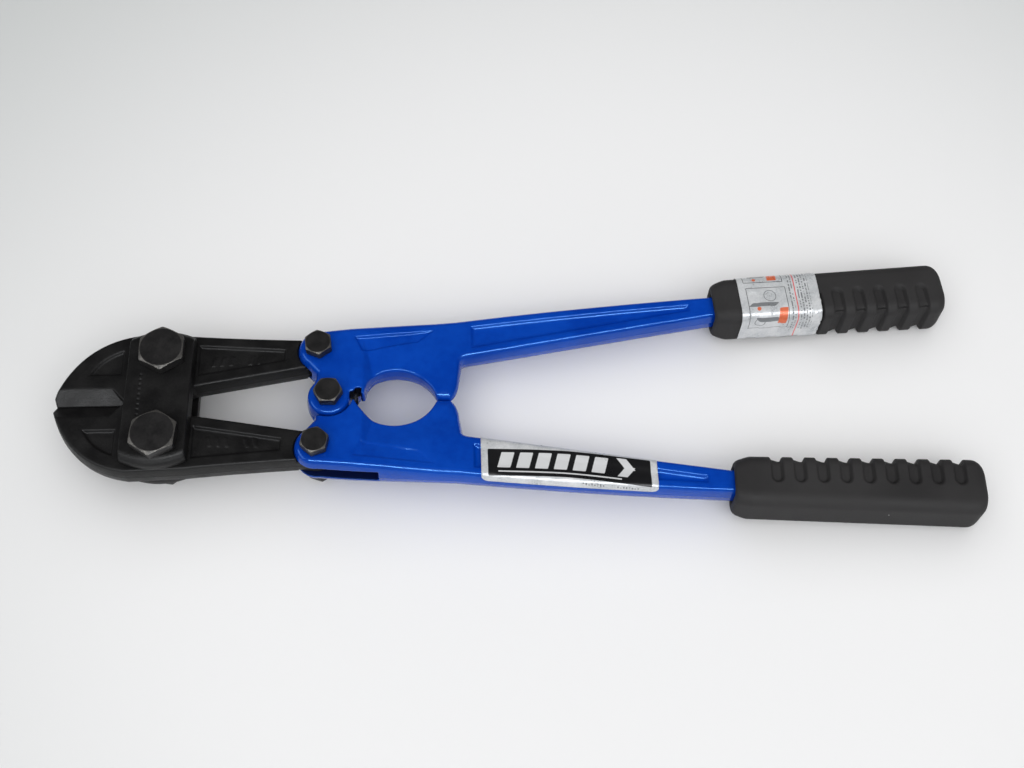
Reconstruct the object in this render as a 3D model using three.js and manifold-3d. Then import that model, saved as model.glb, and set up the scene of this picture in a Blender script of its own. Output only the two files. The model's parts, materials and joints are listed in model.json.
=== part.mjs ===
// Bolt cutters with two forged handles, two jaws, a pair of straps and rubber grips.
// Millimetres, +Z up. The jaws point along -X and the handles along +X. The design frame
// has x = 0 on the centre bolt and z = 0 on the middle plane; the last lines stand the
// tool on its bolt ends, with the origin under the middle of its box.
import * as THREE from 'three';
import { mergeVertices } from 'three/addons/utils/BufferGeometryUtils.js';
import Module from 'manifold-3d';

const wasm = await Module();
wasm.setup();

const gap = 0.3;                 // air between pieces that touch
const jawPivot = { x: -65.2, y: 18.5 };
const linkPivot = { x: -4.5, y: 21.5 };

const jawHalf = 5;               // half the thickness of a jaw
const tailHalf = 3.1;            // half the thickness of a jaw's tail, inside the fork
const tailEye = 6.75;            // radius of the tail's eye
const strapThick = 5.5;
const strapLeft = -79;
const strapRight = -53.2;
const strapSide = 26.6;          // half the strap's length at its corners
const jawTip = -107.8;

const headHalf = 8;              // half the thickness of a handle at its fork
const webHalf = 4.1;             // round the bite and the stop
const shankHalf = 5.3;           // and along its shank
const lobe = 9;                  // radius round the link bolt and round the centre bolt
const lugRecess = 11.2;          // room round the other handle's lug
const slotHalf = tailHalf + 0.35;
const bite = { x: 25.8, y: -5.4, r: 17.3 };

const bigBolt = { r: 5, thread: 4, flats: 17, head: 4.4, nutFlats: 13, nut: 5, washer: 1.6, stub: 0.9 };
const smallBolt = { r: 3, thread: 3, flats: 10, head: 4, nutFlats: 10, nut: 5, washer: 1.4, stub: 1.2 };
const boreRoom = 0.3;            // running room round a bolt
const driftRoom = 1.45;          // more room in the lower handle's lug, the open pivot

const gripStart = { x: 155.5, y: 39.9 };
const gripTilt = THREE.MathUtils.degToRad(3.05);
const gripLength = 96;
const gripHalf = 10;             // half the thickness of a grip
const gripEdge = 2.6;            // how far its edges are broken
const grooveCount = 9;
const groove = { first: 16, pitch: 8.75, width: 4.6, depth: 1.3, reach: 12 };
const gripLabel = { start: 10.5, stop: 43.5, lowest: -7, film: 0.4 };

// ---- helpers ----

function toSolid(geometry) {
  const bare = geometry.clone();
  bare.deleteAttribute('normal');
  bare.deleteAttribute('uv');
  const merged = mergeVertices(bare, 1e-4);
  return new wasm.Manifold(new wasm.Mesh({
    numProp: 3,
    vertProperties: new Float32Array(merged.attributes.position.array),
    triVerts: new Uint32Array(merged.index.array),
  }));
}

function toGeometry(solid) {
  const mesh = solid.getMesh();
  const geometry = new THREE.BufferGeometry();
  geometry.setAttribute('position', new THREE.BufferAttribute(mesh.vertProperties, 3));
  geometry.setIndex(new THREE.BufferAttribute(mesh.triVerts, 1));
  geometry.computeVertexNormals();
  return geometry;
}

function shapeOf(points) {
  return new THREE.Shape(points.map(([x, y]) => new THREE.Vector2(x, y)));
}

// A flat outline carried up from low to high.
function prism(shape, low, high, curveSegments = 8) {
  const geometry = new THREE.ExtrudeGeometry(shape, {
    depth: high - low, bevelEnabled: false, curveSegments,
  });
  return geometry.translate(0, 0, low);
}

// An outline in Y and Z carried along X.
function carryAlongX(shape, from, to) {
  const geometry = new THREE.ExtrudeGeometry(shape, { depth: to - from, bevelEnabled: false });
  return geometry.rotateX(Math.PI / 2).rotateZ(Math.PI / 2).translate(from, 0, 0);
}

// An outline in X and Z carried across the tool along Y.
function crossPrism(shape, halfWidth) {
  const geometry = new THREE.ExtrudeGeometry(shape, { depth: 2 * halfWidth, bevelEnabled: false });
  return geometry.rotateX(Math.PI / 2).translate(0, halfWidth, 0);
}

function rod(radius, low, high, x = 0, y = 0, sides = 24) {
  const geometry = new THREE.CylinderGeometry(radius, radius, high - low, sides);
  return geometry.rotateX(Math.PI / 2).translate(x, y, (low + high) / 2);
}

function cutAll(solid, geometries) {
  return geometries.reduce((rest, geometry) => rest.subtract(toSolid(geometry)), solid);
}

// The same prism on the top and on the bottom face, sunk by depth.
function facePockets(shape, faceHalf, depth) {
  return [
    prism(shape, faceHalf - depth, faceHalf + 5),
    prism(shape, -faceHalf - 5, -faceHalf + depth),
  ];
}

// ---- handles ----

// The forging seen from above: lobe, back edge, tang, shank, corner, stop and neck.
function handleOutline() {
  const shape = new THREE.Shape();
  shape.moveTo(linkPivot.x + 0.6, linkPivot.y + lobe);
  shape.absarc(linkPivot.x, linkPivot.y, lobe, Math.PI * 0.48, Math.PI * 1.3, false);
  shape.lineTo(-6, 9.8);
  shape.lineTo(-6.4, 6.2);
  shape.lineTo(-4, gap / 2);
  shape.lineTo(47.4, gap / 2);
  shape.quadraticCurveTo(49.6, 1.6, 50.6, 6);
  shape.lineTo(51.9, 14.8);
  shape.quadraticCurveTo(52.2, 16.5, 54.5, 16.9);
  shape.quadraticCurveTo(100, 25, 155, 34.2);
  shape.lineTo(236.3, 40.6);
  shape.lineTo(235.9, 48.4);
  shape.lineTo(155, 44.4);
  shape.quadraticCurveTo(100, 40.8, 50, 34.9);
  shape.quadraticCurveTo(20, 33, linkPivot.x + 0.6, linkPivot.y + lobe);
  return shape;
}

// Seen from the side, the head is thick at the fork and tapers to the shank.
function handleSideOutline() {
  const half = [[-20, headHalf], [8, headHalf], [42, shankHalf + 0.2], [60, shankHalf], [250, shankHalf]];
  return shapeOf([...half, ...half.map(([x, z]) => [x, -z]).reverse()]);
}

// What one face loses round the bite: a level web, a slope up to the back edge and a ramp to the fork.
function webRelief(side) {
  const across = shapeOf([[-2, side * webHalf], [10, side * webHalf], [28, side * headHalf],
    [28, side * 12], [-2, side * 12]]);
  const along = shapeOf([[12, side * headHalf], [17, side * webHalf], [62, side * webHalf],
    [62, side * 12], [12, side * 12]]);
  return toGeometry(toSolid(carryAlongX(across, 11, 61)).intersect(toSolid(crossPrism(along, 40))));
}

// The upper handle's tooth, and the notch between it and the lug, on the lug's half of the head.
function toothOutline() {
  return shapeOf([[8, 2.8], [12.5, 2.8], [12.5, 0.8], [13.3, 0.8], [14.4, 4.6], [15.9, 7.6],
    [18, 9.8], [20, 11], [20, 13], [8, 13]]);
}

// The fork's slot, open at the end and along the back as far as the root.
function slotOutline() {
  return shapeOf([[-20, 12.2], [2, 12.2], [6.5, 16.5], [19.5, 26], [19.5, 45], [-20, 45]]);
}

function headPocketOutline() {
  return shapeOf([[9.5, 28.5], [12.5, 22], [37, 25.5], [42, 30]]);
}

// The channel that makes the shank an H in section.
function shankChannelOutline() {
  const shape = new THREE.Shape();
  shape.moveTo(56, 21.2);
  shape.quadraticCurveTo(100, 28.8, 146, 37);
  shape.lineTo(146, 40.2);
  shape.quadraticCurveTo(100, 36.8, 56, 31.6);
  return shape;
}

function handleGeometry(centreBore, toothed) {
  let solid = toSolid(prism(handleOutline(), -headHalf, headHalf, 10));
  solid = cutAll(solid, [rod(bite.r, -20, 20, bite.x, bite.y, 64)]);
  if (toothed) {
    solid = solid.add(toSolid(prism(toothOutline(), gap / 2, headHalf)));
  }
  solid = cutAll(solid, [rod(lugRecess, -20, gap / 2, 0, 0, 40)]);
  solid = solid.add(toSolid(rod(lobe, gap / 2, headHalf, 0, 0, 40)));
  solid = solid.intersect(toSolid(crossPrism(handleSideOutline(), 60)));
  solid = cutAll(solid, [
    webRelief(1),
    webRelief(-1),
    prism(slotOutline(), -slotHalf, slotHalf),
    rod(smallBolt.r + boreRoom, -20, 20, linkPivot.x, linkPivot.y),
    rod(centreBore, -20, 20),
    ...facePockets(headPocketOutline(), headHalf - 1.4, 0.8),
    ...facePockets(shankChannelOutline(), shankHalf, 1.6),
  ]);
  return toGeometry(solid);
}

// ---- jaws ----

function jawOutline() {
  const shape = new THREE.Shape();
  shape.moveTo(jawTip, gap / 2);
  shape.lineTo(-64.5, gap / 2);
  shape.lineTo(-53, 5.9);
  shape.lineTo(-9, 13.7);
  shape.absarc(linkPivot.x, linkPivot.y, tailEye, -Math.PI * 0.62, Math.PI * 0.54, false);
  shape.lineTo(-12, 27.3);
  shape.quadraticCurveTo(-40, 28.6, -55, 30);
  shape.lineTo(-77, 30.7);
  shape.quadraticCurveTo(-99.6, 27.4, jawTip, 3);
  return shape;
}

// The cutting bevel in Y and Z, carried along the blade.
function bevelCutter(side) {
  const shape = shapeOf([[-1, side * 0.3], [6.3, side * jawHalf], [6.3, side * (jawHalf + 2)],
    [-1, side * (jawHalf + 2)]]);
  return carryAlongX(shape, -113, -81.5);
}

function frontPocketOutline() {
  const shape = new THREE.Shape();
  shape.moveTo(-82, 12);
  shape.lineTo(-82, 23.3);
  shape.quadraticCurveTo(-91, 20.5, -95, 12);
  return shape;
}

function tailPocketOutline() {
  return shapeOf([[-52.5, 11], [-18, 17.2], [-18, 22.4], [-52.5, 25]]);
}

// The tail is thinned on both faces inside the sweep of the handle's fork.
function tailRelief(low, high) {
  return rod(lobe + 0.7, low, high, linkPivot.x, linkPivot.y, 40);
}

function jawGeometry() {
  const solid = toSolid(prism(jawOutline(), -jawHalf, jawHalf, 10));
  return toGeometry(cutAll(solid, [
    bevelCutter(1),
    bevelCutter(-1),
    rod(bigBolt.r + boreRoom, -20, 20, jawPivot.x, jawPivot.y),
    rod(smallBolt.r + boreRoom, -20, 20, linkPivot.x, linkPivot.y),
    tailRelief(tailHalf, jawHalf + 1),
    tailRelief(-jawHalf - 1, -tailHalf),
    ...facePockets(frontPocketOutline(), jawHalf, 1),
    ...facePockets(tailPocketOutline(), jawHalf, 1),
  ]));
}

// ---- straps ----

function strapGeometry() {
  const middle = (strapLeft + strapRight) / 2;
  const shape = new THREE.Shape();
  shape.moveTo(strapLeft, -strapSide);
  shape.quadraticCurveTo(middle, -strapSide - 6.2, strapRight, -strapSide);
  shape.lineTo(strapRight, strapSide);
  shape.quadraticCurveTo(middle, strapSide + 6.2, strapLeft, strapSide);
  const solid = toSolid(prism(shape, 0, strapThick, 10));
  return toGeometry(cutAll(solid, [jawPivot.y, -jawPivot.y].map(
    (y) => rod(bigBolt.r + boreRoom, -1, strapThick + 1, jawPivot.x, y))));
}

// ---- bolts, nuts and washers ----

// A hexagon whose corners are turned off by a shallow cone on the chosen face.
function hexBlock(flats, low, high, coneOnTop) {
  const corner = flats / Math.sqrt(3);
  const chamfer = 0.6;
  const profile = [[0, low], [corner + 1, low], [corner + 1, high - chamfer - 0.6],
    [flats / 2 - 0.2, high], [0, high]].map(([x, y]) => new THREE.Vector2(x, y));
  const cone = new THREE.LatheGeometry(profile, 24).rotateX(Math.PI / 2);
  if (!coneOnTop) {
    cone.rotateX(Math.PI).translate(0, 0, low + high);
  }
  return toSolid(rod(corner, low, high, 0, 0, 6)).intersect(toSolid(cone));
}

// The shank runs down from the head, whose underside is at z = 0, and its thread carries the washer and nut.
function boltGeometry(size, grip) {
  const end = -(grip + 2 * gap + size.washer + size.nut + size.stub);
  const head = hexBlock(size.flats, 0, size.head, true);
  const shank = toSolid(rod(size.r, -grip, 0.5)).add(toSolid(rod(size.thread, end, -1)));
  return toGeometry(head.add(shank));
}

// The nut's upper face is at z = 0.
function nutGeometry(size) {
  const block = hexBlock(size.nutFlats, -size.nut, 0, false);
  return toGeometry(cutAll(block, [rod(size.thread + gap, -size.nut - 1, 1)]));
}

// A washer whose upper face is at z = 0: a split spring washer, or a wide plain one.
function washerGeometry(size, plain) {
  const outer = size.thread * (plain ? 2.1 : 1.72);
  const ring = toSolid(rod(outer, -size.washer, 0, 0, 0, 32));
  const split = new THREE.BoxGeometry(outer, 1.2, 9).rotateX(0.5).translate(outer * 0.9, 0, 0);
  const hole = rod(size.thread + gap, -9, 9, 0, 0, 32);
  return toGeometry(cutAll(ring, plain ? [hole] : [hole, split]));
}

// ---- grips and labels ----

// Seen from above, in the grip's own axes: along its length and across it.
function gripOutline() {
  return shapeOf([[0, -8.4], [6, -10.1], [89.5, -11.2], [94.5, -9.8], [gripLength, -6.5],
    [gripLength, 6.5], [94.5, 10.2], [89.5, 11.5], [6, 10.4], [0, 8.6]]);
}

// One groove bites the inner side and wraps a short way on to both faces.
function grooveCutter(along) {
  const side = -10.2 - 0.0135 * along;
  const reach = side + groove.reach;
  const faceLevel = gripHalf - groove.depth * 0.7;
  const section = shapeOf([[-18, -15], [reach, -15], [reach, -faceLevel], [side + groove.depth, -faceLevel],
    [side + groove.depth, faceLevel], [reach, faceLevel], [reach, 15], [-18, 15]]);
  return carryAlongX(section, along - groove.width / 2, along + groove.width / 2);
}

function placeOnGrip(geometry) {
  return geometry.rotateZ(gripTilt).translate(gripStart.x, gripStart.y, 0);
}

// The grip without its grooves and socket, swelled all round by extra.
function gripBody(extra) {
  const body = new THREE.ExtrudeGeometry(gripOutline(), {
    depth: 2 * (gripHalf + extra - gripEdge), bevelEnabled: true, bevelSegments: 2,
    bevelThickness: gripEdge, bevelSize: gripEdge, bevelOffset: extra - gripEdge,
  });
  return toSolid(placeOnGrip(body.translate(0, 0, gripEdge - gripHalf - extra)));
}

// A sleeve with a socket for the tang, open at the front.
function gripGeometry() {
  const cutters = [];
  for (let i = 0; i < grooveCount; i += 1) {
    cutters.push(placeOnGrip(grooveCutter(groove.first + i * groove.pitch)));
  }
  const room = 0.45;
  const socket = prism(shapeOf([[150, 33.6 - room], [237.2, 40.6 - room], [236.7, 48.5 + room],
    [150, 44.2 + room]]), -shankHalf - room, shankHalf + room);
  return toGeometry(cutAll(gripBody(0), [...cutters, socket]));
}

// A thin printed band that wraps over the top and both sides of a grip.
function gripLabelGeometry() {
  const { start, stop, lowest, film } = gripLabel;
  const window = new THREE.BoxGeometry(stop - start, 60, gripHalf + 5 - lowest);
  window.translate((start + stop) / 2, 0, (gripHalf + 5 + lowest) / 2);
  const skin = gripBody(gap + film).subtract(gripBody(gap));
  return toGeometry(skin.intersect(toSolid(placeOnGrip(window))));
}

// A thin printed panel over the shank's face and a little down both of its edges.
function shankLabelGeometry() {
  const panel = (extra, from, to, low, high) => {
    const inner = (x) => 16.9 + (x - 54.5) * 0.178 - extra;
    const outer = (x) => 35.5 + (x - 54.5) * 0.0995 + extra;
    return prism(shapeOf([[from, inner(from)], [to, inner(to)], [to, outer(to)], [from, outer(from)]]), low, high);
  };
  const outside = toSolid(panel(1.1, 59, 126.5, -shankHalf - 0.7, -2.4));
  return toGeometry(outside.subtract(toSolid(panel(0.7, 50, 140, -shankHalf - 0.3, 0))));
}

// ---- materials ----

const finishes = {
  paint: { color: 0x0a46c4, roughness: 0.25, metalness: 0 },
  blackSteel: { color: 0x2b2b2d, roughness: 0.5, metalness: 0.8 },
  boltSteel: { color: 0x3a3836, roughness: 0.45, metalness: 0.8 },
  rubber: { color: 0x3b3b3c, roughness: 0.85, metalness: 0 },
  foil: { color: 0xd8dadc, roughness: 0.35, metalness: 0.3 },
};

function piece(name, geometry, finish, x = 0, y = 0, z = 0) {
  const mesh = new THREE.Mesh(geometry, new THREE.MeshStandardMaterial(finishes[finish]));
  mesh.name = name;
  mesh.position.set(x, y, z);
  return mesh;
}

// ---- assembly ----

const strapFace = jawHalf + gap;             // inner face of the upper strap
const strapTop = strapFace + strapThick;
const tool = new THREE.Group();

// One handle, jaw, grip and their label; the lower side is the upper one rolled over.
function addSide(side, rolled) {
  const half = new THREE.Group();
  half.rotation.x = rolled ? Math.PI : 0;
  const bore = smallBolt.r + boreRoom + (rolled ? driftRoom : 0);
  half.add(piece(`${side}_handle`, handleGeometry(bore, !rolled), 'paint'));
  half.add(piece(`${side}_jaw`, jawGeometry(), 'blackSteel'));
  half.add(piece(`${side}_grip`, gripGeometry(), 'rubber'));
  if (rolled) {
    half.add(piece('shank_label', shankLabelGeometry(), 'foil'));
  } else {
    half.add(piece('grip_label', gripLabelGeometry(), 'foil'));
  }
  tool.add(half);
}

// Bolt from above, then the washer and the nut below.
function addFastener(name, size, topFace, x, y, turn, plain = false) {
  const bolt = piece(`${name}_bolt`, boltGeometry(size, 2 * topFace + gap), 'boltSteel', x, y, topFace + gap);
  const washer = piece(`${name}_washer`, washerGeometry(size, plain), 'boltSteel', x, y, -topFace - gap);
  const nut = piece(`${name}_nut`, nutGeometry(size), 'boltSteel', x, y, -topFace - 2 * gap - size.washer);
  bolt.rotation.z = turn;
  washer.rotation.z = turn + 0.9;
  nut.rotation.z = turn + 0.35;
  tool.add(bolt, washer, nut);
}

addSide('upper', false);
addSide('lower', true);
tool.add(piece('top_strap', strapGeometry(), 'blackSteel', 0, 0, strapFace));
tool.add(piece('bottom_strap', strapGeometry(), 'blackSteel', 0, 0, -strapTop));
addFastener('upper_jaw', bigBolt, strapTop, jawPivot.x, jawPivot.y, 0.03);
addFastener('lower_jaw', bigBolt, strapTop, jawPivot.x, -jawPivot.y, -0.08);
addFastener('upper_link', smallBolt, headHalf, linkPivot.x, linkPivot.y, 0.1);
addFastener('lower_link', smallBolt, headHalf, linkPivot.x, -linkPivot.y, -0.2);
addFastener('center', smallBolt, headHalf, 0, 0, 0.5, true);

const box = new THREE.Box3().setFromObject(tool, true);
const middle = box.getCenter(new THREE.Vector3());
tool.position.set(-middle.x, -middle.y, -box.min.z);

const boltCutters = new THREE.Group();
boltCutters.add(tool);

export default boltCutters;
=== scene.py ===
import json
import math

import bmesh
import bpy
import numpy as np
from mathutils import Matrix, Vector


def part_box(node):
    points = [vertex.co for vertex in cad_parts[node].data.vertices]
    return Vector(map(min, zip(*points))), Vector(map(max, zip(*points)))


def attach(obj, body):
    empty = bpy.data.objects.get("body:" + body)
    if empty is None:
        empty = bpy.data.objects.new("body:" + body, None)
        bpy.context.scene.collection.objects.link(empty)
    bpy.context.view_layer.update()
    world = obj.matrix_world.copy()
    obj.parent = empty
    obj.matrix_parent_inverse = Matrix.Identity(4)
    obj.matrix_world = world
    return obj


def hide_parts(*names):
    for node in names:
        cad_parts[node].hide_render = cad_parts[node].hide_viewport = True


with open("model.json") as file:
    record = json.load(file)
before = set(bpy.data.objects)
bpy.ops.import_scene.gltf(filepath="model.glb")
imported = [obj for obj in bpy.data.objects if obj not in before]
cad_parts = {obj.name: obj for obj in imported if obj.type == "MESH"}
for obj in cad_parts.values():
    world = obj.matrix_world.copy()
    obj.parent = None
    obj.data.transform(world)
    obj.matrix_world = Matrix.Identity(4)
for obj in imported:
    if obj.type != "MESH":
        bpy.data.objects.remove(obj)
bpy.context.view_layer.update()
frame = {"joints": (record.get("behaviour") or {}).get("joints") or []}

mm = 0.001
pi = math.pi
lap = 0.15                       # half the air between the two handles, and between the two jaws
coarse = 1.0
jointPlace = {joint["name"]: np.array(joint["pos_m"]) / mm for joint in frame["joints"]}
centreBox = np.array([list(corner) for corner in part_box("center_bolt")]) / mm
drawOrigin = np.array([centreBox[:, 0].mean(), 0.0, jointPlace["upper_handle_pivot"][2]])
jawPivot = jointPlace["upper_jaw_pivot"] - drawOrigin
linkPivot = jointPlace["upper_handle_pivot"] - drawOrigin


# A CAD node's lowest and highest corners in the drawing frame.
def drawnBox(node):
    return np.array([list(corner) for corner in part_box(node)]) / mm - drawOrigin


# A quadratic curve without its first point: (1-t)^2 start + 2t(1-t) control + t^2 stop.
def bend(start, control, stop, steps=8):
    t = np.linspace(0, 1, steps + 1)[1:, None]
    return (1 - t) ** 2 * np.array(start) + 2 * t * (1 - t) * np.array(control) + t ** 2 * np.array(stop)


# An arc: centre + radius times the cosine and sine of an angle running from first to last.
def arc(centre, radius, first, last, steps=20):
    a = np.linspace(first, last, steps)
    return np.column_stack([centre[0] + radius * np.cos(a), centre[1] + radius * np.sin(a)])


def smoothStep(value, low, high):
    t = np.clip((value - low) / (high - low), 0, 1)
    return t * t * (3 - 2 * t)


# Distance in plan to a closed outline, below 0 inside: the least distance to any side, with the
# sign turned by each side that a line running left from the point crosses.
def flatDistance(x, y, outline):
    nearest, inside = np.inf, False
    for (ax, ay), (bx, by) in zip(outline, np.roll(outline, -1, axis=0)):
        ex, ey = bx - ax, by - ay
        wx, wy = x - ax, y - ay
        t = np.clip((wx * ex + wy * ey) / (ex * ex + ey * ey + 1e-12), 0, 1)
        nearest = np.minimum(nearest, (wx - ex * t) ** 2 + (wy - ey * t) ** 2)
        inside = inside ^ (((ay > y) != (by > y)) & (x < ax + ex * wy / (ey if ey else 1.0)))
    return np.where(inside, -1.0, 1.0) * np.sqrt(nearest)


# The greater of two distances, with the edge where they meet rounded to a radius.
def roundMax(a, b, radius):
    corner = np.hypot(np.maximum(a + radius, 0), np.maximum(b + radius, 0))
    return corner + np.minimum(np.maximum(a, b) + radius, 0) - radius


# The lesser of two distances, with a fillet of a radius where they meet.
def roundMin(a, b, radius):
    return -roundMax(-a, -b, radius)


# A blend of two levels into the lower one: (a + b - sqrt((a - b)^2 + blend^2)) / 2.
def lower(a, b, blend):
    return (a + b - np.sqrt((a - b) ** 2 + blend ** 2)) / 2


def faceNormals(points, faces):
    return np.cross(points[faces[:, 2]] - points[faces[:, 0]], points[faces[:, 3]] - points[faces[:, 1]])


# The surface where a distance field is 0, for forgings whose pockets, bores and laps no single grid of
# two parameters can cover. Each lattice cell that the surface crosses gets one point, the mean of the
# crossings on the cell's edges, and each crossed lattice edge gets one face through its four cells. Then
# every point slides along its normal by the field's own value, on to the exact surface.
def fieldSurface(field, low, high, pitch):
    pitch = pitch * coarse
    axes = [np.arange(a, b + pitch, pitch) for a, b in zip(low, high)]
    value = field(*np.meshgrid(*axes, indexing="ij", sparse=True))
    inside = value < 0
    full = np.zeros(np.array(value.shape) - 1, int)
    corners = [(i, j, k) for i in (0, 1) for j in (0, 1) for k in (0, 1)]
    for i, j, k in corners:
        full += inside[i:full.shape[0] + i, j:full.shape[1] + j, k:full.shape[2] + k]
    cells = np.argwhere((full > 0) & (full < 8))
    number = np.full(full.shape, -1)
    number[tuple(cells.T)] = np.arange(len(cells))
    total, count = np.zeros((len(cells), 3)), np.zeros((len(cells), 1))
    for first in corners:
        for axis in range(3):
            if first[axis]:
                continue
            step = np.eye(3, dtype=int)[axis]
            a = value[tuple((cells + first).T)]
            b = value[tuple((cells + first + step).T)]
            crossed = (a < 0) != (b < 0)
            share = np.where(crossed, a / np.where(crossed, a - b, 1), 0)
            total += crossed[:, None] * (np.array(first) + share[:, None] * step)
            count += crossed[:, None]
    points = np.array(low) + pitch * (cells + total / count)
    faces = []
    for axis in range(3):
        u, v = (axis + 1) % 3, (axis + 2) % 3
        ahead = np.moveaxis(inside, axis, 0)
        crossing = np.moveaxis(ahead[:-1] != ahead[1:], 0, axis)
        at = np.argwhere(crossing)
        at = at[(at[:, u] > 0) & (at[:, v] > 0)]
        du, dv = np.eye(3, dtype=int)[u], np.eye(3, dtype=int)[v]
        quad = np.stack([number[tuple((at - back).T)] for back in (du + dv, dv, 0 * du, du)], axis=1)
        outward = inside[tuple(at.T)]
        faces.append(np.where(outward[:, None], quad, quad[:, ::-1]))
    faces = np.concatenate(faces)
    for _ in range(3):
        normals = np.zeros_like(points)
        each = faceNormals(points, faces)
        for corner in range(4):
            np.add.at(normals, faces[:, corner], each)
        normals /= np.linalg.norm(normals, axis=1, keepdims=True) + 1e-12
        points -= normals * np.clip(field(*points.T), -pitch / 2, pitch / 2)[:, None]
    return points, faces


# Faces of a grid of points, row by row, whose columns close into a ring unless open.
def gridFaces(rows, columns, ring=True):
    i, j = np.meshgrid(np.arange(rows - 1), np.arange(columns if ring else columns - 1), indexing="ij")
    i, j = i.ravel(), j.ravel()
    k = (j + 1) % columns
    return np.stack([i * columns + j, i * columns + k, (i + 1) * columns + k, (i + 1) * columns + j], axis=1)


def rolled(points):
    return points * [1, -1, -1]


# How sharply the surface bends at each point: the mean over its edges of twice the neighbour's drop below
# the point's tangent plane over the edge's length squared, in 1/mm, then spread a little over the mesh.
# Beside it goes how level the surface lies, the height of its unit normal.
def markBends(mesh, spread=2):
    count = len(mesh.vertices)
    place, normal = np.zeros(count * 3), np.zeros(count * 3)
    mesh.vertices.foreach_get("co", place)
    mesh.vertices.foreach_get("normal", normal)
    place, normal = place.reshape(-1, 3) / mm, normal.reshape(-1, 3)
    edges = np.zeros(len(mesh.edges) * 2, int)
    mesh.edges.foreach_get("vertices", edges)
    a, b = edges.reshape(-1, 2).T
    gapBetween = place[a] - place[b]
    length = (gapBetween ** 2).sum(1) + 1e-6
    neighbours = np.bincount(a, minlength=count) + np.bincount(b, minlength=count)
    drop = [2 * (sign * gapBetween * normal[end]).sum(1) / length for sign, end in ((1, a), (-1, b))]
    amount = sum(np.bincount(end, np.clip(part, -4, 4), count) for end, part in zip((a, b), drop))
    amount = amount / np.maximum(neighbours, 1)
    for _ in range(spread):
        around = np.bincount(a, amount[b], count) + np.bincount(b, amount[a], count)
        amount = (amount + around / np.maximum(neighbours, 1)) / 2
    for name, part in (("edge", amount), ("hollow", -amount), ("level", np.abs(normal[:, 2]))):
        layer = mesh.attributes.new(name, "FLOAT", "POINT")
        layer.data.foreach_set("value", np.clip(part, 0, 2).astype(np.float32))


# A finished piece from points in the drawing frame, riding on a body and standing for CAD nodes.
def addPiece(name, points, faces, body, nodes, material, weld=False, film=0, printed=None, bare=None):
    mesh = bpy.data.meshes.new(name)
    mesh.from_pydata(((points + drawOrigin) * mm).tolist(), [], faces.tolist())
    # An optional per-point mask, the painted shade of the handles' slot and notch.
    if bare is not None:
        mesh.attributes.new("bare", "FLOAT", "POINT").data.foreach_set("value", bare.astype(np.float32))
    if printed is not None:
        layer = mesh.uv_layers.new(name="print")
        corner = np.zeros(len(mesh.loops), int)
        mesh.loops.foreach_get("vertex_index", corner)
        layer.data.foreach_set("uv", printed[corner].ravel().astype(np.float32))
    if weld:
        shape = bmesh.new()
        shape.from_mesh(mesh)
        bmesh.ops.remove_doubles(shape, verts=shape.verts, dist=1e-7)
        bmesh.ops.dissolve_degenerate(shape, edges=shape.edges, dist=1e-8)
        bmesh.ops.recalc_face_normals(shape, faces=shape.faces)
        shape.to_mesh(mesh)
        shape.free()
    mesh.shade_smooth()
    markBends(mesh)
    piece = bpy.data.objects.new(name, mesh)
    bpy.context.scene.collection.objects.link(piece)
    mesh.materials.append(material)
    if film:
        wall = piece.modifiers.new("film", "SOLIDIFY")
        wall.thickness = film * mm
        wall.offset = 1
    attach(piece, body)
    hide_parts(*nodes)
    print(f"  {name}: {len(mesh.vertices)} points, {len(mesh.polygons)} faces")
    return piece


def addNode(tree, kind, inputs=None, **settings):
    made = tree.nodes.new("ShaderNode" + kind)
    for key, value in settings.items():
        setattr(made, key, value)
    for key, value in (inputs or {}).items():
        if isinstance(value, bpy.types.NodeSocket):
            tree.links.new(value, made.inputs[key])
        else:
            made.inputs[key].default_value = value
    return made


def calc(tree, operation, *values):
    return addNode(tree, "Math", dict(enumerate(values)), operation=operation).outputs[0]


def remap(tree, value, low, high, first=0.0, last=1.0):
    inputs = {"Value": value, "From Min": low, "From Max": high, "To Min": first, "To Max": last}
    return addNode(tree, "MapRange", inputs, interpolation_type="SMOOTHSTEP").outputs[0]


def blendColour(tree, share, first, second):
    mix = addNode(tree, "Mix", {0: share}, data_type="RGBA")
    for index, value in ((6, first), (7, second)):
        if isinstance(value, bpy.types.NodeSocket):
            tree.links.new(value, mix.inputs[index])
        else:
            mix.inputs[index].default_value = (*value, 1)
    return mix.outputs[2]


def newGroup(name, inputs, outputs):
    tree = bpy.data.node_groups.new(name, "ShaderNodeTree")
    for label, value in inputs.items():
        kind = "NodeSocketVector" if isinstance(value, tuple) else "NodeSocketFloat"
        tree.interface.new_socket(label, in_out="INPUT", socket_type=kind).default_value = value
    for label in outputs:
        tree.interface.new_socket(label, in_out="OUTPUT", socket_type="NodeSocketFloat")
    return tree, tree.nodes.new("NodeGroupInput").outputs, tree.nodes.new("NodeGroupOutput").inputs


def useGroup(tree, group, **values):
    made = tree.nodes.new("ShaderNodeGroup")
    made.node_tree = group
    for key, value in values.items():
        if isinstance(value, bpy.types.NodeSocket):
            tree.links.new(value, made.inputs[key])
        else:
            made.inputs[key].default_value = value
    return made.outputs


def objectPlace(tree):
    return addNode(tree, "TexCoord").outputs["Object"]


def noise(tree, scale, detail=3.0, roughness=0.5, vector=None):
    inputs = {"Vector": vector or objectPlace(tree), "Scale": scale, "Detail": detail, "Roughness": roughness}
    return addNode(tree, "TexNoise", inputs).outputs[0]


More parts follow.
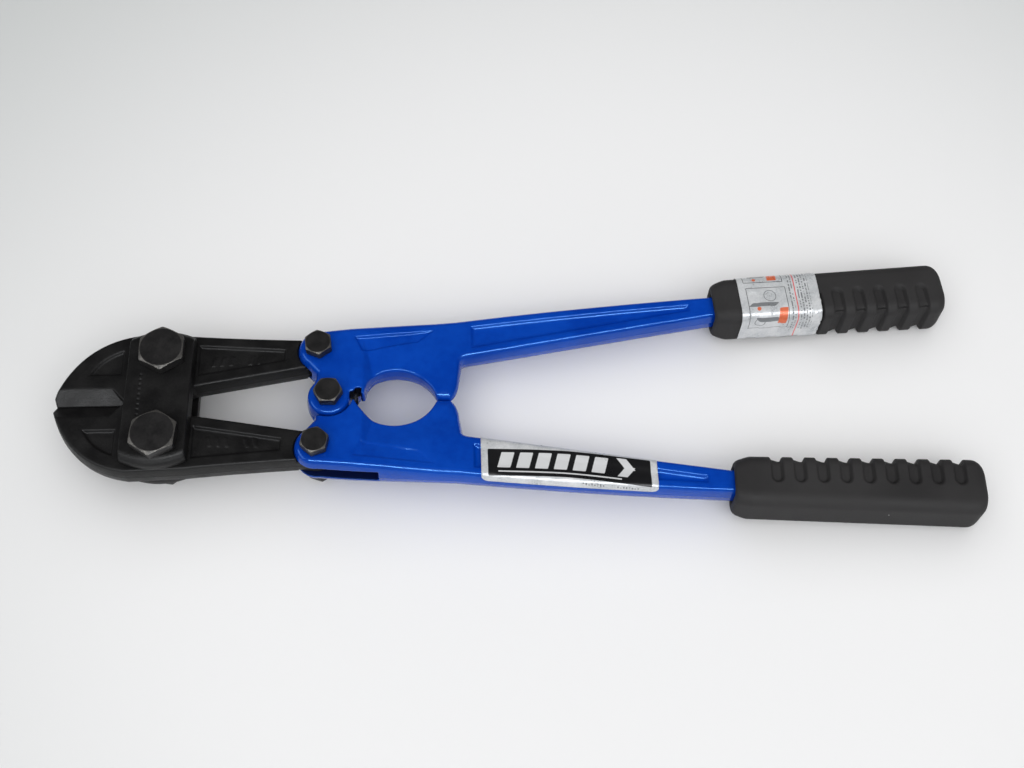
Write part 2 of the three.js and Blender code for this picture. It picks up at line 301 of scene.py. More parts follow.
# Bare or thin places along the sharp edges: the bend of the surface plus broken noise, past a threshold.
def makeEdgeWear():
    tree, given, result = newGroup("edgeWear", {"Bend": 1.0, "Amount": 0.5, "Scale": 300.0}, ["Mask"])
    edge = addNode(tree, "Attribute", attribute_name="edge").outputs["Fac"]
    broken = noise(tree, given["Scale"], 5.0, 0.65)
    level = calc(tree, "DIVIDE", edge, given["Bend"])
    level = calc(tree, "ADD", level, calc(tree, "MULTIPLY", calc(tree, "SUBTRACT", broken, 0.5), 1.6))
    start = calc(tree, "SUBTRACT", 1.5, given["Amount"])
    past = calc(tree, "SUBTRACT", level, start)
    tree.links.new(remap(tree, past, 0.0, 0.25), result["Mask"])
    return tree


# Fine grain over broad swells, as a height, and a blotchy tone.
def makeGrain():
    inputs = {"Fine": 2000.0, "Broad": 120.0, "Swell": 0.5}
    tree, given, result = newGroup("grain", inputs, ["Height", "Tone"])
    fine = noise(tree, given["Fine"], 2.0, 0.6)
    broad = noise(tree, given["Broad"], 2.0, 0.4)
    tree.links.new(calc(tree, "ADD", fine, calc(tree, "MULTIPLY", broad, given["Swell"])), result["Height"])
    tone = calc(tree, "MULTIPLY_ADD", fine, 0.35, calc(tree, "MULTIPLY", broad, 0.65))
    tree.links.new(tone, result["Tone"])
    return tree


# Scattered specks: the middles of random cells, kept where the cell's own random number is low.
def makeSpecks():
    tree, given, result = newGroup("specks", {"Scale": 200.0, "Size": 0.1, "Share": 0.1}, ["Mask"])
    cell = addNode(tree, "TexVoronoi", {"Vector": objectPlace(tree), "Scale": given["Scale"]})
    random = addNode(tree, "SeparateColor", {0: cell.outputs["Color"]}).outputs
    near = calc(tree, "LESS_THAN", cell.outputs["Distance"], calc(tree, "MULTIPLY", given["Size"], random[0]))
    kept = calc(tree, "LESS_THAN", random[1], given["Share"])
    tree.links.new(calc(tree, "MULTIPLY", near, kept), result["Mask"])
    return tree


# A printed box with round corners, in the label's own millimetres: inside it, and along its outline.
def makePrintBox():
    inputs = {"Place": (0.0, 0.0, 0.0), "Middle": (0.0, 0.0, 0.0), "Half": (1.0, 1.0, 0.0), "Round": 0.2,
              "Line": 0.3}
    tree, given, result = newGroup("printBox", inputs, ["Fill", "Outline"])
    offset = addNode(tree, "VectorMath", {0: given["Place"], 1: given["Middle"]}, operation="SUBTRACT")
    offset = addNode(tree, "VectorMath", {0: offset.outputs[0]}, operation="ABSOLUTE")
    beyond = addNode(tree, "VectorMath", {0: offset.outputs[0], 1: given["Half"]}, operation="SUBTRACT")
    parts = addNode(tree, "SeparateXYZ", {0: beyond.outputs[0]}).outputs
    across, along = (calc(tree, "ADD", part, given["Round"]) for part in parts[:2])
    outer = [calc(tree, "MAXIMUM", part, 0.0) for part in (across, along)]
    length = calc(tree, "SQRT", calc(tree, "ADD", *(calc(tree, "POWER", part, 2.0) for part in outer)))
    inner = calc(tree, "MINIMUM", calc(tree, "MAXIMUM", across, along), 0.0)
    distance = calc(tree, "SUBTRACT", calc(tree, "ADD", length, inner), given["Round"])
    half = calc(tree, "MULTIPLY", given["Line"], 0.5)
    outline = calc(tree, "SUBTRACT", calc(tree, "ABSOLUTE", calc(tree, "ADD", distance, half)), half)
    tree.links.new(remap(tree, distance, 0.06, -0.06), result["Fill"])
    tree.links.new(remap(tree, outline, 0.06, -0.06), result["Outline"])
    return tree


# Broken rows of dashes that stand for small print: a row every pitch across, cut up by noise along it.
def makeDashes():
    tree, given, result = newGroup("dashes", {"Place": (0.0, 0.0, 0.0), "Pitch": 1.2, "Break": 1.0}, ["Mask"])
    parts = addNode(tree, "SeparateXYZ", {0: given["Place"]}).outputs
    row = calc(tree, "DIVIDE", parts[0], given["Pitch"])
    inRow = calc(tree, "LESS_THAN", calc(tree, "FRACT", row), 0.5)
    shift = calc(tree, "MULTIPLY", calc(tree, "FLOOR", row), 7.3)
    spot = addNode(tree, "CombineXYZ", {0: shift, 1: parts[1]})
    cut = noise(tree, given["Break"], 1.0, 0.5, spot.outputs[0])
    tree.links.new(calc(tree, "MULTIPLY", inRow, remap(tree, cut, 0.47, 0.5)), result["Mask"])
    return tree


edgeWear, grain, specks = makeEdgeWear(), makeGrain(), makeSpecks()
printBox, dashes = makePrintBox(), makeDashes()


# A material with its tree and its Principled shader, whose plain values are set on the shader's sockets.
def newFinish(name, values):
    material = bpy.data.materials.new(name)
    material.use_nodes = True
    tree = material.node_tree
    shader = next(node for node in tree.nodes if node.type == "BSDF_PRINCIPLED")
    for key, value in values.items():
        shader.inputs[key].default_value = value
    return material, tree, shader


def addBump(tree, shader, height, strength, distance):
    inputs = {"Height": height, "Strength": strength, "Distance": distance * mm}
    tree.links.new(addNode(tree, "Bump", inputs).outputs[0], shader.inputs["Normal"])


# Among these colours, the near black for bare and shade is the painted shade of the slot and notch walls.
enamel = {
    "deep": (0.0, 0.037, 0.35), "pale": (0.0, 0.05, 0.42), "thin": (0.002, 0.1, 0.6),
    "chip": (0.05, 0.05, 0.055), "bare": (0.004, 0.004, 0.006), "shine": (0.2, 0.52, 1.0), "roughness": 0.15,
}


def makeEnamel():
    values = {"IOR": 1.5, "Specular Tint": (*enamel["shine"], 1)}
    material, tree, shader = newFinish("handleEnamel", values)
    tone = useGroup(tree, grain, Fine=300.0, Broad=45.0, Swell=1.0)
    colour = blendColour(tree, remap(tree, tone["Tone"], 0.35, 0.65), enamel["deep"], enamel["pale"])
    edge = addNode(tree, "Attribute", attribute_name="edge").outputs["Fac"]
    colour = blendColour(tree, remap(tree, edge, 0.25, 1.6, 0.0, 0.35), colour, enamel["thin"])
    # Hollows are mixed towards a darker blue: painted shade in creases and recesses.
    hollow = addNode(tree, "Attribute", attribute_name="hollow").outputs["Fac"]
    colour = blendColour(tree, remap(tree, hollow, 0.2, 1.2, 0.0, 0.4), colour, (0.0, 0.02, 0.25))
    chips = useGroup(tree, edgeWear, Bend=1.6, Amount=0.05, Scale=420.0)["Mask"]
    spots = useGroup(tree, specks, Scale=90.0, Size=0.1, Share=0.03)["Mask"]
    worn = calc(tree, "MAXIMUM", chips, calc(tree, "MULTIPLY", spots, 0.5))
    colour = blendColour(tree, worn, colour, enamel["chip"])
    # The slot and notch walls are painted near black with their shine cut: painted shade.
    bare = addNode(tree, "Attribute", attribute_name="bare").outputs["Fac"]
    tree.links.new(blendColour(tree, bare, colour, enamel["bare"]), shader.inputs["Base Color"])
    tree.links.new(calc(tree, "MULTIPLY_ADD", bare, -0.9, 0.95), shader.inputs["Specular IOR Level"])
    rough = remap(tree, tone["Tone"], 0.3, 0.7, enamel["roughness"] - 0.04, enamel["roughness"] + 0.06)
    tree.links.new(calc(tree, "MULTIPLY_ADD", worn, 0.3, rough), shader.inputs["Roughness"])
    height = calc(tree, "SUBTRACT", useGroup(tree, grain, Fine=330.0, Broad=110.0, Swell=3.0)["Height"],
                  calc(tree, "MULTIPLY", worn, 0.6))
    addBump(tree, shader, height, 0.12, 0.4)
    return material


blackSteel = {"dark": (0.0042, 0.004, 0.0042), "light": (0.0078, 0.0075, 0.0075), "rub": (0.05, 0.049, 0.048)}


def makeBlackSteel():
    material, tree, shader = newFinish("blackedSteel", {"Specular IOR Level": 0.3})
    tone = useGroup(tree, grain, Fine=1400.0, Broad=140.0, Swell=0.6)
    colour = blendColour(tree, remap(tree, tone["Tone"], 0.3, 0.7), blackSteel["dark"], blackSteel["light"])
    rubbed = useGroup(tree, edgeWear, Bend=1.3, Amount=0.4, Scale=500.0)["Mask"]
    dust = useGroup(tree, specks, Scale=160.0, Size=0.1, Share=0.04)["Mask"]
    shown = calc(tree, "MAXIMUM", calc(tree, "MULTIPLY", rubbed, 0.5), calc(tree, "MULTIPLY", dust, 0.8))
    tree.links.new(blendColour(tree, shown, colour, blackSteel["rub"]), shader.inputs["Base Color"])
    tree.links.new(remap(tree, tone["Tone"], 0.3, 0.7, 0.4, 0.56), shader.inputs["Roughness"])
    addBump(tree, shader, useGroup(tree, grain, Fine=1100.0, Broad=260.0, Swell=1.6)["Height"], 0.28, 0.35)
    return material


boltSteel = {"dark": (0.007, 0.0068, 0.007), "light": (0.013, 0.012, 0.012),
             "bright": (0.15, 0.143, 0.133)}


def makeBoltSteel():
    material, tree, shader = newFinish("boltSteel", {"Specular IOR Level": 0.5})
    tone = useGroup(tree, grain, Fine=1500.0, Broad=220.0, Swell=0.7)
    colour = blendColour(tree, remap(tree, tone["Tone"], 0.3, 0.7), boltSteel["dark"], boltSteel["light"])
    level = addNode(tree, "Attribute", attribute_name="level").outputs["Fac"]
    bare = calc(tree, "MULTIPLY", remap(tree, level, 0.55, 0.75), remap(tree, level, 0.985, 0.93))
    patchy = remap(tree, noise(tree, 420.0, 4.0, 0.6), 0.32, 0.6, 0.25, 0.9)
    rubbed = useGroup(tree, edgeWear, Bend=1.4, Amount=0.5, Scale=700.0)["Mask"]
    worn = calc(tree, "MAXIMUM", calc(tree, "MULTIPLY", bare, patchy), calc(tree, "MULTIPLY", rubbed, 0.35))
    tree.links.new(blendColour(tree, worn, colour, boltSteel["bright"]), shader.inputs["Base Color"])
    tree.links.new(calc(tree, "MULTIPLY", worn, 0.9), shader.inputs["Metallic"])
    tree.links.new(remap(tree, tone["Tone"], 0.3, 0.7, 0.34, 0.5), shader.inputs["Roughness"])
    addBump(tree, shader, useGroup(tree, grain, Fine=1800.0, Broad=420.0, Swell=1.2)["Height"], 0.22, 0.2)
    return material


rubber = {"dark": (0.019, 0.018, 0.0185), "light": (0.028, 0.0268, 0.0272), "scuff": (0.06, 0.058, 0.057)}


def makeRubber():
    material, tree, shader = newFinish("gripRubber", {"Specular IOR Level": 0.3})
    tone = useGroup(tree, grain, Fine=1800.0, Broad=60.0, Swell=0.5)
    colour = blendColour(tree, remap(tree, tone["Tone"], 0.3, 0.7), rubber["dark"], rubber["light"])
    scuffed = useGroup(tree, edgeWear, Bend=1.0, Amount=0.45, Scale=260.0)["Mask"]
    dust = useGroup(tree, specks, Scale=110.0, Size=0.06, Share=0.04)["Mask"]
    # Hollows, the grooves above all, are mixed towards near black: painted shade.
    hollow = addNode(tree, "Attribute", attribute_name="hollow").outputs["Fac"]
    colour = blendColour(tree, remap(tree, hollow, 0.15, 0.9, 0.0, 0.8), colour, (0.006, 0.006, 0.006))
    colour = blendColour(tree, calc(tree, "MULTIPLY", scuffed, 0.5), colour, rubber["scuff"])
    tree.links.new(blendColour(tree, dust, colour, (0.5, 0.5, 0.48)), shader.inputs["Base Color"])
    tree.links.new(remap(tree, tone["Tone"], 0.3, 0.7, 0.62, 0.8), shader.inputs["Roughness"])
    addBump(tree, shader, useGroup(tree, grain, Fine=2600.0, Broad=500.0, Swell=0.6)["Height"], 0.3, 0.18)
    return material


# Prints boxes over a colour, each (mid x, mid y, half x, half y, round, slant, colour, outline width or 0).
def printBoxes(tree, place, colour, boxes):
    parts = addNode(tree, "SeparateXYZ", {0: place}).outputs
    for x, y, halfX, halfY, corner, slant, ink, line in boxes:
        spot = place
        if slant:
            leaning = calc(tree, "MULTIPLY_ADD", calc(tree, "SUBTRACT", parts[1], y), -slant, parts[0])
            spot = addNode(tree, "CombineXYZ", {0: leaning, 1: parts[1]}).outputs[0]
        shape = useGroup(tree, printBox, Place=spot, Middle=(x, y, 0), Half=(halfX, halfY, 0), Round=corner,
                         Line=line or 0.3)
        colour = blendColour(tree, shape["Outline" if line else "Fill"], colour, ink)
    return colour


foil = {"silver": (0.5, 0.52, 0.54), "grey": (0.22, 0.23, 0.24), "ink": (0.009, 0.009, 0.01),
        "white": (0.72, 0.73, 0.74), "orange": (0.72, 0.16, 0.07), "red": (0.75, 0.12, 0.12)}


def startFoil(name, metallic):
    material, tree, shader = newFinish(name, {"Metallic": metallic, "Specular IOR Level": 0.5})
    place = addNode(tree, "UVMap", uv_map="print").outputs[0]
    soft = useGroup(tree, grain, Fine=1200.0, Broad=150.0, Swell=2.0)
    tree.links.new(remap(tree, soft["Tone"], 0.3, 0.7, 0.26, 0.4), shader.inputs["Roughness"])
    addBump(tree, shader, soft["Height"], 0.12, 0.25)
    plain = blendColour(tree, remap(tree, soft["Tone"], 0.3, 0.7), foil["silver"], foil["white"])
    return material, tree, shader, place, plain


# The shank's label: a black panel in a silver border, with slanted blocks, a rule and dashes.
def makeShankPrint():
    material, tree, shader, place, colour = startFoil("shankPrint", 0.25)
    width = shankLabel["stop"] - shankLabel["start"]
    boxes = [(width / 2, 9.6, width / 2 - 2.6, 5.6, 0.5, 0, foil["ink"], 0)]
    for step in range(6):
        boxes.append((9.5 + 7.2 * step, 10.6, 2.5, 3.3, 0.3, 0.28, foil["white"], 0))
    for lean in (0.75, -0.75):
        boxes.append((55.5, 10.6 - lean * 2.2, 1.9, 2.2, 0.15, lean, foil["white"], 0))
    boxes.append((30.0, 5.7, 23.5, 0.28, 0.1, 0, foil["white"], 0))
    colour = printBoxes(tree, place, colour, boxes)
    rows = useGroup(tree, dashes, Place=place, Pitch=1.1, Break=0.9)["Mask"]
    strip = useGroup(tree, printBox, Place=place, Middle=(49.0, 2.3, 0), Half=(11.0, 0.5, 0), Round=0.1)
    colour = blendColour(tree, calc(tree, "MULTIPLY", rows, strip["Fill"]), colour, foil["grey"])
    tree.links.new(colour, shader.inputs["Base Color"])
    return material


# The grip's label: framed blocks, a red rule and rows of dashes on silver.
def makeGripPrint():
    material, tree, shader, place, colour = startFoil("gripPrint", 0.2)
    marks = [
        (9.5, 20.0, 5.5, 0.9, 0.5, 1.1, foil["grey"], 0), (11.0, 13.5, 4.6, 1.0, 0.5, -0.7, foil["grey"], 0),
        (12.5, 24.0, 2.6, 2.6, 2.5, 0, foil["grey"], 0.3), (7.5, 12.0, 2.2, 2.2, 2.1, 0, foil["grey"], 0.35),
        (17.0, 14.6, 1.7, 3.6, 0.4, 0.12, foil["orange"], 0),
        (7.2, 18.2, 0.8, 0.8, 0.7, 0, foil["orange"], 0),
        (14.6, 33.6, 1.9, 2.4, 0.4, 0.1, foil["orange"], 0), (9.0, 35.0, 3.6, 1.8, 0.6, 0.6, foil["grey"], 0),
        (7.0, 31.8, 0.7, 0.7, 0.6, 0, foil["orange"], 0),
        (11.2, 18.0, 8.2, 10.0, 0.3, 0, foil["ink"], 0.22), (10.6, 38.0, 8.2, 7.6, 0.3, 0, foil["ink"], 0.22),
        (23.2, 25.0, 0.22, 26.0, 0.1, 0, foil["red"], 0),
    ]
    rows = useGroup(tree, dashes, Place=place, Pitch=1.15, Break=1.3)["Mask"]
    for middle, half in (((21.2, 25.0, 0), (1.1, 19.0, 0)), ((26.6, 25.0, 0), (2.4, 19.0, 0))):
        field = useGroup(tree, printBox, Place=place, Middle=middle, Half=half, Round=0.1)["Fill"]
        colour = blendColour(tree, calc(tree, "MULTIPLY", rows, field), colour, foil["grey"])
    tree.links.new(printBoxes(tree, place, colour, marks), shader.inputs["Base Color"])
    return material


handle = {
    "headHalf": 8.0, "webHalf": 3.3, "shankHalf": 5.3, "lobe": 9.0, "recess": 10.6, "slotHalf": 3.45,
    "bite": (25.8, -5.4, 17.3), "crown": 1.7, "edge": 1.8, "biteEdge": 1.0, "stopEdge": 3.2,
    "pocketDepth": 1.3, "channelFloor": 3.8, "bore": 3.3, "driftRoom": 1.45, "seam": 0.14, "pitch": 0.46,
}
lobeTop = (linkPivot[0] + 0.6, linkPivot[1] + handle["lobe"])
handleShape = np.vstack([
    arc(linkPivot, handle["lobe"], pi * 0.48, pi * 1.3, 24),
    [(-6, 9.8), (-6.4, 6.2), (-4, lap), (47.4, lap)],
    bend((47.4, lap), (49.6, 1.6), (50.6, 6), 6),
    bend((51.9, 14.8), (52.2, 16.5), (54.5, 16.9), 5),
    bend((54.5, 16.9), (100, 25), (155, 34.2), 14),
    [(236.3, 40.6), (235.9, 48.4), (155, 44.4)],
    bend((155, 44.4), (100, 40.8), (50, 34.9), 14),
    bend((50, 34.9), (20, 33), lobeTop, 9)[:-1],
])
toothShape = np.array([(8, 2.8), (12.3, 2.8), (12.3, 0.6), (13.8, 0.6), (14.6, 4.6), (15.9, 7.6),
                       (18, 9.8), (20, 11), (20, 13), (8, 13)])
notchShape = np.array([(8.2, -1), (12.6, -1), (12.6, 3.0), (8.2, 3.0)])
slotShape = np.array([(-20, 12.2), (2, 12.2), (6.5, 16.5), (19.5, 26), (19.5, 45), (-20, 45)])
headPocketShape = np.array([(9.5, 26.3), (12.5, 19.8), (35, 24.1), (41.5, 29.7)])
channelShape = np.vstack([
    [(56, 21.2)], bend((56, 21.2), (100, 28.8), (146, 37), 10),
    [(146, 40.2)], bend((146, 40.2), (100, 36.8), (56, 31.6), 10),
])


# Half the handle's thickness: a taper from the fork to the shank, lowered round the bite and the stop to a
# web that slopes up to the back edge and ramps up to the fork.
def halfThickness(x, y):
    fork, web = handle["headHalf"], handle["webHalf"]
    taper = np.interp(x, [8, 42, 60], [fork, handle["shankHalf"] + 0.2, handle["shankHalf"]])
    slope = -lower(-web, -(web + (fork - web) * (y - 10) / 18), 1.0)
    ramp = fork + (web - fork) * smoothStep(x, 11.5, 18.5)
    return lower(taper, -lower(-slope, -ramp, 0.6), 0.5) + 0.1


# Distance to the upper handle: its crowned outline between two faces, with the bite rounded out, the lap
# for the other handle's lug cut from the lower half, the lug and the tooth joined to the upper half, and
# then the fork's slot, the bores, the head's pocket and the shank's channel cut.
def handleField(x, y, z, toothed=True, channel=True):
    up, half = np.abs(z), halfThickness(x, y)
    biteX, biteY, biteRadius = handle["bite"]
    fromBite = np.hypot(x - biteX, y - biteY) - biteRadius
    crown = np.interp(x, [20, 70, 150], [handle["crown"], 1.2, 0.8])
    side = flatDistance(x, y, handleShape) + crown * (up / half) ** 2
    wall = roundMax(side, 0.3 * (up / half) ** 2 - fromBite, 0.9)
    wall = wall - handle["seam"] * np.exp(-(z / 0.45) ** 2)
    atStop = smoothStep(x, 40.5, 44.5) * (1 - smoothStep(y, 4, 10)) * (1 - smoothStep(x, 54, 60))
    edge = np.interp(x, [30, 70], [handle["edge"], 1.4])
    edge = edge + (handle["biteEdge"] - edge) * (1 - smoothStep(fromBite, 1, 5))
    edge = edge + (handle["stopEdge"] - edge) * atStop
    body = roundMax(wall, up - half, edge)
    bolt = np.hypot(x, y)
    recess = bolt - handle["recess"] + 1.2 * (z / 8) ** 2
    body = roundMax(body, -np.maximum(recess, z - lap), 0.4)
    lug = np.maximum(roundMax(bolt - handle["lobe"] + 1.2 * (z / 8) ** 2, z - half, 1.6), lap - z)
    body = roundMin(body, lug, 1.0)
    if toothed:
        tooth = roundMax(flatDistance(x, y, toothShape) + 0.3 * (up / half) ** 2, z - half, 0.6)
        body = roundMin(body, np.maximum(tooth, lap - z), 0.4)
    body = roundMax(body, -np.maximum(flatDistance(x, y, slotShape), up - handle["slotHalf"]), 0.45)
    for boreX, boreY in ((0, 0), linkPivot[:2]):
        body = roundMax(body, handle["bore"] - np.hypot(x - boreX, y - boreY), 0.3)
    depth = handle["pocketDepth"] * (1 - 0.5 * smoothStep(x, 28, 44)) * (1 if toothed else 0.45)
    pocket = flatDistance(x, y, headPocketShape) + 0.5 * (half - up)
    body = roundMax(body, -roundMax(pocket, half - depth - up, 0.5), 0.45)
    if channel:
        trough = flatDistance(x, y, channelShape) + 0.8 * (half - up)
        body = roundMax(body, -roundMax(trough, handle["channelFloor"] - up, 0.9), 0.55)
    return body


# Painted shade on the walls of the fork's slot and of the notch, which lie in shadow: 1 deep inside and 0
# outside.
def slotAndNotchShade(points, toothed):
    x, y, z = points.T
    deep = np.maximum(flatDistance(x, y, slotShape) + 0.6, np.abs(z) - handle["slotHalf"] + 0.1)
    notch = flatDistance(x, y if toothed else -y, notchShape)
    deep = np.minimum(deep, np.maximum(notch, z - (7.0 if toothed else 1.5)))
    return 1 - smoothStep(deep, 0, 0.5)


# The lower handle's lug has a wider bore: near the bolt's axis, points move out by the drift room.
def widenBore(points):
    away = np.hypot(points[:, 0], points[:, 1])
    push = handle["driftRoom"] * (1 - smoothStep(away, handle["bore"] + 0.4, 7.5))
    wide = points.copy()
    wide[:, :2] *= (1 + push / np.maximum(away, 1))[:, None]
    return wide


def makeHandles(paint):
    for name, toothed in (("upper", True), ("lower", False)):
        points, faces = fieldSurface(lambda x, y, z: handleField(x, y, z, toothed), (-16, -10.5, -9.2),
                                     (238, 51, 9.2), handle["pitch"])
        # A mask of painted shade for the walls of the slot and the notch.
        bare = slotAndNotchShade(points, toothed)
        if not toothed:
            points = rolled(widenBore(points))
        addPiece(f"{name}Handle", points, faces, f"{name}_handle", [f"{name}_handle"], paint,
                 bare=bare)


jaw = {
    "half": 5.0, "tailHalf": 3.1, "tailEye": 6.75, "relief": 9.35, "crown": 0.7, "edge": 0.8,
    "bevelEnd": -81.0, "pocket": 1.25, "seam": 0.08, "markRise": 0.3, "pitch": 0.38,
}
jawShape = np.vstack([
    [(-106.9, lap), (-64.5, lap), (-53, 5.9)],
    [(-9, 13.7)], arc(linkPivot, jaw["tailEye"], -pi * 0.62, pi * 0.54, 22),
    [(-12, 27.3)], bend((-12, 27.3), (-40, 28.6), (-55, 30), 6),
    [(-77, 30.7)], bend((-77, 30.7), (-99.6, 27.4), (-107.8, 3), 18),
])
frontPocketShape = np.vstack([[(-82, 12), (-82, 23.3)], bend((-82, 23.3), (-91, 20.5), (-95, 12), 8)])
tailPocketShape = np.array([(-52.5, 11), (-18, 17.2), (-18, 22.4), (-52.5, 25)])


# Distance to the upper jaw: its crowned outline between two faces, less the cutting bevel's planes, the
# pockets, the bores and the thinned tail, with short raised marks left standing in the tail's pocket.
def jawField(x, y, z):
    up, half = np.abs(z), jaw["half"]
    wall = flatDistance(x, y, jawShape) + jaw["crown"] * (up / half) ** 2
    body = roundMax(wall - jaw["seam"] * np.exp(-(z / 0.4) ** 2), up - half, jaw["edge"])
    rise = ((up - 0.3) * 7.3 - (y + 1) * 4.7) / math.hypot(7.3, 4.7)
    end = (jaw["bevelEnd"] - x - 0.9 * (y - 1.5)) / 1.35
    body = roundMax(body, roundMin(rise, end, 0.3), 0.3)
    floor = half - jaw["pocket"]
    for shape in (frontPocketShape, tailPocketShape):
        pocket = roundMax(flatDistance(x, y, shape) + 0.6 * (half - up), floor - up, 0.4)
        body = roundMax(body, -pocket, 0.3)
    for markX in (-46, -42.6, -39.2, -31.5, -28.1):
        lean = x - markX - 0.25 * (y - 18)
        mark = np.maximum(np.abs(lean) - 0.75, np.abs(y - 18 - 0.04 * (markX + 38)) - 2.0)
        body = roundMin(body, roundMax(mark, up - floor - jaw["markRise"], 0.3), 0.3)
    link = np.hypot(x - linkPivot[0], y - linkPivot[1])
    relief = link - jaw["relief"] + 0.65 * (up / half) ** 2
    body = roundMax(body, -np.maximum(relief, jaw["tailHalf"] - up), 0.3)
    body = roundMax(body, 3.3 - link, 0.3)
    return roundMax(body, 5.3 - np.hypot(x - jawPivot[0], y - jawPivot[1]), 0.3)


def makeJaws(steel):
    points, faces = fieldSurface(jawField, (-109.5, -1.2, -6), (3.5, 32.5, 6), jaw["pitch"])
    addPiece("upperJaw", points, faces, "upper_jaw", ["upper_jaw"], steel)
    addPiece("lowerJaw", rolled(points), faces, "lower_jaw", ["lower_jaw"], steel)


strap = {"left": -79.0, "right": -53.2, "side": 26.6, "bulge": 3.1, "low": 5.3, "high": 10.8, "chamfer": 2.4,
         "edge": 0.55, "dimples": 9, "pitch": 0.36}


# Distance to the top strap: a plate with bulging ends, a wide chamfer on them, two bores and a row of
# small dimples along its front edge.
def strapField(x, y, z):
    middle, halfWidth = (strap["left"] + strap["right"]) / 2, (strap["right"] - strap["left"]) / 2
    ends = np.abs(y) - strap["side"] - strap["bulge"] * (1 - ((x - middle) / halfWidth) ** 2)
    sides = np.abs(x - middle) - halfWidth + 0.35 * smoothStep(z, strap["low"], strap["high"])
    body = roundMax(ends, sides, 0.7)
    body = roundMax(body, z - strap["high"], strap["edge"])
    body = roundMax(body, (ends + z - strap["high"] + strap["chamfer"]) / math.sqrt(2), 0.8)
    body = roundMax(body, strap["low"] - z, 0.3)
    for boltY in (jawPivot[1], -jawPivot[1]):
        body = roundMax(body, 5.3 - np.hypot(x - jawPivot[0], y - boltY), 0.3)
    for step in range(strap["dimples"]):
        dimpleY = (step - (strap["dimples"] - 1) / 2) * 2.2
        away = np.sqrt((x - strap["left"] - 6) ** 2 + (y - dimpleY) ** 2 + (z - strap["high"] - 0.35) ** 2)
        body = roundMax(body, 0.75 - away, 0.12)
    return body


def makeStraps(steel):
    points, faces = fieldSurface(strapField, (-80.5, -31, 4.3), (-51.5, 31, 12), strap["pitch"])
    addPiece("topStrap", points, faces, "straps", ["top_strap"], steel)
    addPiece("bottomStrap", rolled(points), faces, "straps", ["bottom_strap"], steel)


bigBolt = {"r": 5.0, "thread": 4.0, "flats": 17.0, "nutFlats": 13.0, "head": 4.4, "lead": 1.25}
smallBolt = {"r": 3.0, "thread": 3.0, "flats": 10.0, "nutFlats": 10.0, "head": 4.0, "lead": 1.0}
fasteners = {
    "upper_jaw": (bigBolt, "straps", 0.03), "lower_jaw": (bigBolt, "straps", -0.08),
    "upper_link": (smallBolt, "upper_handle", 0.1), "lower_link": (smallBolt, "lower_handle", -0.2),
    "center": (smallBolt, "upper_handle", 0.5),
}
around = np.arange(144) / 144 * 2 * pi


# A hexagon's radius at each angle: half its flats over the greatest cosine of the angle to a flat's middle,
# taken as a high-power mean, which turns the corners over a little.
def hexRadius(flats):
    facing = np.stack([np.cos(around - side * pi / 3) for side in range(6)])
    return flats / 2 / (np.maximum(facing, 0) ** 60).sum(0) ** (1 / 60)


# Rings of a hexagonal face: round and flat as far as the chamfer circle, then down a cone to the hexagon's
# edge. Each ring is a radius and a height below the face, for every angle.
def chamferRings(flats):
    circle, edge = flats * 0.482, hexRadius(flats)
    rings = [(np.full(144, circle * share), np.zeros(144)) for share in (0, 0.4, 0.8, 0.96, 1)]
    for share in (0.08, 0.3, 0.6, 0.9, 1):
        radius = circle * 1.02 + (edge - circle * 1.02) * share
        rings.append((radius, (radius - circle) * 0.58))
    rings.append((edge + 0.03, (edge - circle) * 0.58 + 0.12))
    return rings


def ringPoints(rings):
    radius, height = (np.array([ring[part] for ring in rings]) for part in (0, 1))
    return np.stack([radius * np.cos(around), radius * np.sin(around), height], axis=2)


# A bolt from the top of its head down: chamfer rings, straight hexagon sides, the underside, the shank, and
# below the stack that it clamps a thread, whose radius rises and falls with (height / lead + angle / full
# turn).
def boltPoints(size, stack, length):
    edge, flat = hexRadius(size["flats"]), np.ones(144)
    rings = [(radius, size["head"] - drop) for radius, drop in chamferRings(size["flats"])]
    rings += [(edge + 0.03, flat * 1.5), (edge + 0.03, flat * 0.35), (edge - 0.04, flat * 0.12)]
    rings += [(edge - 0.3, flat * 0.0), (flat * size["r"] + 0.3, flat * 0.0), (flat * size["r"], flat * -0.3)]
    rings += [(flat * size["r"], flat * -stack), (flat * size["thread"], flat * (-stack - 0.1))]
    for height in np.arange(-stack - 0.25, -length + 0.9, -0.15):
        turn = (height / size["lead"] + around / (2 * pi)) % 1
        rings.append((size["thread"] - 0.44 * size["lead"] * np.abs(2 * turn - 1), flat * height))
    tip = size["thread"] * 0.8
    rings += [(flat * tip, flat * (-length + 0.5)), (flat * tip * 0.8, flat * -length)]
    rings += [(flat * 0, flat * -length)]
    return ringPoints(rings)


# A nut as one closed loop of rings: chamfered faces, hexagon sides and a threaded bore.
def nutPoints(size, low, high):
    face, flat, edge = chamferRings(size["nutFlats"])[3:], np.ones(144), hexRadius(size["nutFlats"])
    bore = flat * (size["thread"] + 0.3)
    rings = [(bore, flat * (high - 0.3)), (bore + 0.3, flat * high), (edge - 0.3, flat * high)]
    rings += [(edge, flat * (high - 0.25))]
    rings += [(radius, low + drop) for radius, drop in reversed(face)]
    rings += [(bore + 0.3, flat * low), (bore, flat * (low + 0.3)), (bore, flat * (high - 0.3))]
    return ringPoints(rings)


# A plain washer as one closed loop of rings with rounded edges.
def plainWasherPoints(inner, outer, low, high):
    flat, soft = np.ones(144), 0.18
    loop = [(inner, high - soft), (inner + soft, high), (outer - soft, high), (outer, high - soft)]
    loop += [(outer, low + soft), (outer - soft, low), (inner + soft, low), (inner, low + soft), loop[0]]
    return ringPoints([(flat * radius, flat * height) for radius, height in loop])


